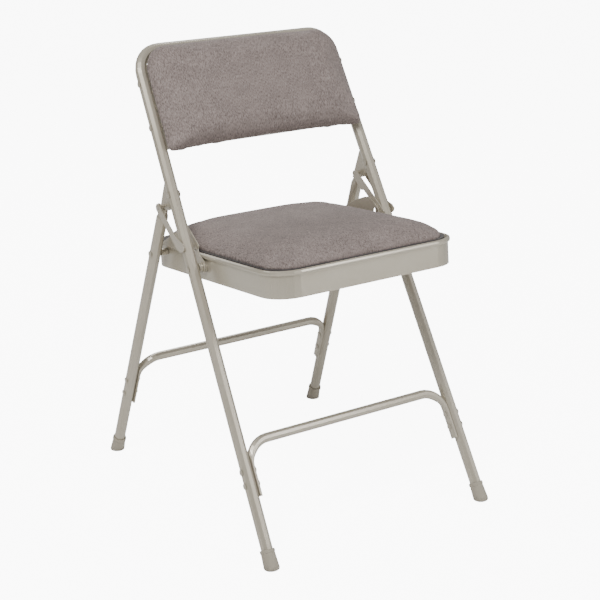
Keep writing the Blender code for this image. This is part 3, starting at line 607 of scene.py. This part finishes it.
def inflate(obj, settings, held_below):
    """Remesh, swell as cloth with the underside held, cap the moves and apply the result.

    A point that the cloth moves by d ends up moved by swell * tanh(d / swell).
    """
    remesh = obj.modifiers.new("remesh", "REMESH")
    remesh.mode = "VOXEL"
    remesh.voxel_size = settings.voxel
    apply_all(obj)
    start = read_points(obj.data)
    group = obj.vertex_groups.new(name="held")
    group.add(np.nonzero(start[:, 2] < held_below)[0].tolist(), 1.0, "REPLACE")
    cloth = obj.modifiers.new("cloth", "CLOTH")
    cloth.settings.vertex_group_mass = "held"
    cloth.settings.use_pressure = True
    cloth.settings.uniform_pressure_force = settings.pressure
    for label, value in CLOTH_SETTINGS.items():
        setattr(cloth.settings, label, value)
    cloth.settings.effector_weights.gravity = 0.0
    cloth.point_cache.frame_start = 1
    cloth.point_cache.frame_end = settings.frames
    for step in range(1, settings.frames + 1):
        bpy.context.scene.frame_set(step)
    apply_all(obj)
    bpy.context.scene.frame_set(1)
    moved = read_points(obj.data) - start
    length = np.linalg.norm(moved, axis=1)
    limit = settings.swell * np.tanh(length / settings.swell)
    moved *= (limit / np.maximum(length, 1e-9))[:, None]
    write_points(obj.data, start + moved)
    obj.vertex_groups.clear()
    smooth = obj.modifiers.new("relax", "SMOOTH")
    smooth.factor = SMOOTH_FACTOR
    smooth.iterations = SMOOTH_PASSES
    subdivide = obj.modifiers.new("finer", "SUBSURF")
    subdivide.levels = 1
    subdivide.render_levels = 1
    apply_all(obj)


def wave_sum(values, waves):
    """Sum of a * sin(f * value + p) over waves given as amplitude a, frequency f and phase p."""
    return sum(a * np.sin(f * values + p) for a, f, p in waves)


def seat_matrix():
    """The seat's own flat frame: at the seat pivot, tilted back."""
    joint = next(j for j in frame["joints"] if j["name"] == "seat_fold")
    return Matrix.Translation(Vector(joint["pos_m"])) @ Matrix.Rotation(-SEAT_TILT, 4, "X")


def local_box(node, place):
    """Lowest and highest corners of a node in another frame."""
    back = np.array(place.inverted())
    local = read_points(frame["nodes"][node].data) @ back[:3, :3].T + back[:3, 3]
    return local.min(0), local.max(0)


def back_matrix():
    """Flat frame of the back: X across, Y up the frame, Z forward of the frame plane."""
    low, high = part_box("back_pad")
    middle = Vector((0.0, (low.y + high.y) / 2.0, (low.z + high.z) / 2.0))
    up = Vector((0.0, FRAME_RAKE, 1.0)) / RAKE_LENGTH
    forward = Vector((0.0, -1.0, FRAME_RAKE)) / RAKE_LENGTH
    rotation = Matrix((Vector((1.0, 0.0, 0.0)), up, forward)).transposed().to_4x4()
    foot = Vector((0.0, FRAME_FOOT_Y, 0.0))
    middle -= forward * (middle - foot).dot(forward)
    return Matrix.Translation(middle) @ rotation


# ---- operators
class CHAIR_OT_seat_cushion(bpy.types.Operator):
    """Build the crowned seat cushion"""

    bl_idname = "chair.seat_cushion"
    bl_label = "Seat cushion"

    def execute(self, context):
        settings = context.scene.chair_cushions
        low, high = local_box("seat_pan", seat_matrix())
        half_x = (high[0] - low[0]) / 2.0 - RIM_BEAD - settings.seat_margin
        half_y = (high[1] - low[1]) / 2.0 - RIM_BEAD - settings.seat_margin
        middle = (high[1] + low[1]) / 2.0
        boundary = rounded_boundary(half_x, half_y, SEAT_CORNERS, count=160)
        verts, faces = cushion_surface(
            boundary, settings.seat_crown, roll=0.60, levels=34, dome=0.84
        )
        verts[:, 2] += high[2] - SEAT_SIDE_GAP
        verts[:, 1] += middle
        obj = make_object("seat_cushion", verts, faces)
        inflate(obj, settings, high[2] + SEAT_HELD)
        points = read_points(obj.data)
        edge = np.clip(1.0 - (points[:, 2] - high[2]) / RIPPLE_REACH, 0.0, 1.0)
        ripple = wave_sum(points[:, 0] * 1.3 + points[:, 1], SEAT_RIPPLE)
        centre = np.array([0.0, middle, high[2]])
        outward = points - centre
        outward[:, 2] = 0.0
        outward /= np.maximum(np.linalg.norm(outward, axis=1), 1e-6)[:, None]
        points += outward * (ripple * edge)[:, None]
        write_points(obj.data, points)
        obj.data.transform(seat_matrix())
        finish = context.scene.chair_finishes
        dress(obj, fabric_material("seat_fabric", finish.fabric_light, finish.fabric_dark, 0.0))
        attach(obj, "seat_body")
        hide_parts("seat_pad")
        return {"FINISHED"}


class CHAIR_OT_back_cushion(bpy.types.Operator):
    """Build the back cushion that fills the upper frame"""

    bl_idname = "chair.back_cushion"
    bl_label = "Back cushion"

    def execute(self, context):
        settings = context.scene.chair_cushions
        place = back_matrix()
        low, high = local_box("back_pad", place)
        middle = (high[1] + low[1]) / 2.0
        half_x = (high[0] - low[0]) / 2.0 - BACK_CLEARANCE[0]
        half_y = (high[1] - low[1]) / 2.0 - BACK_CLEARANCE[1]
        boundary = rounded_boundary(half_x, half_y, BACK_CORNERS, count=240)
        verts, faces = cushion_surface(
            boundary, settings.back_crown, roll=0.42, levels=40, dome=0.62
        )
        narrow = FRAME_LEAN / RAKE_LENGTH
        verts[:, 0] *= 1.0 - narrow * (verts[:, 1] + half_y) / half_x
        verts[:, 1] += middle
        verts[:, 2] += BACK_REAR
        obj = make_object("back_cushion", verts, faces)
        inflate(obj, settings, BACK_HELD)
        points = read_points(obj.data)
        reach = np.clip(1.0 - (points[:, 1] - middle + half_y) / PUCKER_REACH, 0.0, 1.0)
        pucker = wave_sum(points[:, 0], BACK_PUCKER)
        arch = ARCH_MIDDLE - ARCH_CORNER * (points[:, 0] / half_x) ** 2
        points[:, 1] += (pucker + arch) * reach**2
        points[:, 2] -= np.abs(pucker) * reach * 0.5
        write_points(obj.data, points)
        obj.data.transform(place)
        finish = context.scene.chair_finishes
        tilt = -math.atan2(1.0, FRAME_RAKE)
        dress(obj, fabric_material("back_fabric", finish.fabric_light, finish.fabric_dark, tilt))
        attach(obj, "front_frame_body")
        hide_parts("back_pad")
        return {"FINISHED"}


class CHAIR_OT_finishes(bpy.types.Operator):
    """Give every steel, rubber and board node its finish"""

    bl_idname = "chair.finishes"
    bl_label = "Finishes"

    def execute(self, context):
        finish = context.scene.chair_finishes
        for name, obj in frame["nodes"].items():
            if name in ("seat_pad", "back_pad"):
                continue
            if name.startswith("foot_tip"):
                mat = rubber_material(name + "_look", finish.rubber)
            elif name == "seat_board":
                # the seat board is painted near-black as painted shade in the gap round the seat
                # cushion
                mat = paint_material(name + "_look", BOARD_PAINTED_SHADE, BOARD_ROUGHNESS, 0.0, wear=False)
            elif any(word in name for word in ("rivet", "washer", "stud", "pin")):
                polished = finish.paint_roughness - HARDWARE_POLISH
                mat = paint_material(name + "_look", finish.paint, polished)
            else:
                mat = paint_material(name + "_look", finish.paint, finish.paint_roughness)
            dress(obj, mat)
        return {"FINISHED"}


def area_lamp(name, place, target, size, power):
    """White rectangular lamp at a place, aimed at a target."""
    data = bpy.data.lights.new(name, "AREA")
    data.shape = "RECTANGLE"
    data.size, data.size_y = size
    data.energy = power
    obj = bpy.data.objects.new(name, data)
    obj.location = place
    obj.rotation_euler = (Vector(target) - Vector(place)).to_track_quat("-Z", "Y").to_euler()
    bpy.context.scene.collection.objects.link(obj)


class CHAIR_OT_stage(bpy.types.Operator):
    """Add the floor, the lamps and the camera"""

    bl_idname = "chair.stage"
    bl_label = "Stage"

    def execute(self, context):
        settings = context.scene.chair_stage
        angle = np.linspace(0.0, 2.0 * np.pi, FLOOR_SIDES, endpoint=False)
        ring = FLOOR_RADIUS * np.stack([np.cos(angle), np.sin(angle), np.zeros(FLOOR_SIDES)], 1)
        floor = make_object("stage_floor", ring, [list(range(FLOOR_SIDES))])
        mat = bpy.data.materials.new("stage_floor")
        mat.use_nodes = True
        ground = mat.node_tree
        shader = ground.nodes["Principled BSDF"]
        coords = ground.nodes.new("ShaderNodeTexCoord")
        cloud = noise(ground, coords.outputs["Object"], scale=1.5, detail=3.0, roughness=0.5)
        ground.links.new(mix_colour(ground, cloud, *FLOOR_PALE), shader.inputs["Base Color"])
        shader.inputs["Roughness"].default_value = FLOOR_ROUGHNESS
        shader.inputs["Emission Color"].default_value = (1.0, 1.0, 1.0, 1.0)
        seen = ground.nodes.new("ShaderNodeLightPath").outputs["Is Camera Ray"]
        glow = math_node(ground, "MULTIPLY", seen, settings.floor_glow)
        ground.links.new(glow, shader.inputs["Emission Strength"])
        dress(floor, mat)
        world = bpy.data.worlds.new("studio")
        context.scene.world = world
        world.use_nodes = True
        sky = world.node_tree
        background = sky.nodes["Background"]
        background.inputs["Color"].default_value = (1.0, 1.0, 1.0, 1.0)
        seen = sky.nodes.new("ShaderNodeLightPath").outputs["Is Camera Ray"]
        extra = math_node(sky, "MULTIPLY", seen, settings.backdrop)
        strength = math_node(sky, "ADD", extra, settings.world)
        sky.links.new(strength, background.inputs["Strength"])
        for name, place, target, size in LAMPS:
            area_lamp(name, place, target, size, getattr(settings, name))
        data = bpy.data.cameras.new("camera")
        data.lens = settings.lens
        data.sensor_width = SENSOR_WIDTH
        data.dof.use_dof = False
        camera = bpy.data.objects.new("camera", data)
        camera.location = CAMERA_PLACE
        look = Vector(CAMERA_TARGET) - Vector(CAMERA_PLACE)
        camera.rotation_euler = look.to_track_quat("-Z", "Y").to_euler()
        context.scene.collection.objects.link(camera)
        context.scene.camera = camera
        return {"FINISHED"}


class CHAIR_PT_panel(bpy.types.Panel):
    """Chair settings and build steps"""

    bl_idname = "CHAIR_PT_panel"
    bl_label = "Folding Chair"
    bl_space_type = "VIEW_3D"
    bl_region_type = "UI"
    bl_category = "Folding Chair"

    def draw(self, context):
        for name, _ in SETTINGS:
            group = getattr(context.scene, name)
            for key in group.bl_rna.properties.keys():
                if key not in ("rna_type", "name"):
                    self.layout.prop(group, key)
        for operator in OPERATORS:
            self.layout.operator(operator.bl_idname)


SETTINGS = (
    ("chair_cushions", ChairCushionSettings),
    ("chair_finishes", ChairFinishSettings),
    ("chair_stage", ChairStageSettings),
)
OPERATORS = (CHAIR_OT_seat_cushion, CHAIR_OT_back_cushion, CHAIR_OT_finishes, CHAIR_OT_stage)


def register():
    for name, group in SETTINGS:
        bpy.utils.register_class(group)
        setattr(bpy.types.Scene, name, PointerProperty(type=group))
    for item in OPERATORS + (CHAIR_PT_panel,):
        bpy.utils.register_class(item)


def unregister():
    for item in reversed(OPERATORS + (CHAIR_PT_panel,)):
        bpy.utils.unregister_class(item)
    for name, group in reversed(SETTINGS):
        delattr(bpy.types.Scene, name)
        bpy.utils.unregister_class(group)


def main():
    register()
    bpy.ops.chair.seat_cushion()
    bpy.ops.chair.back_cushion()
    bpy.ops.chair.finishes()
    bpy.ops.chair.stage()


if __name__ == "__main__":
    main()
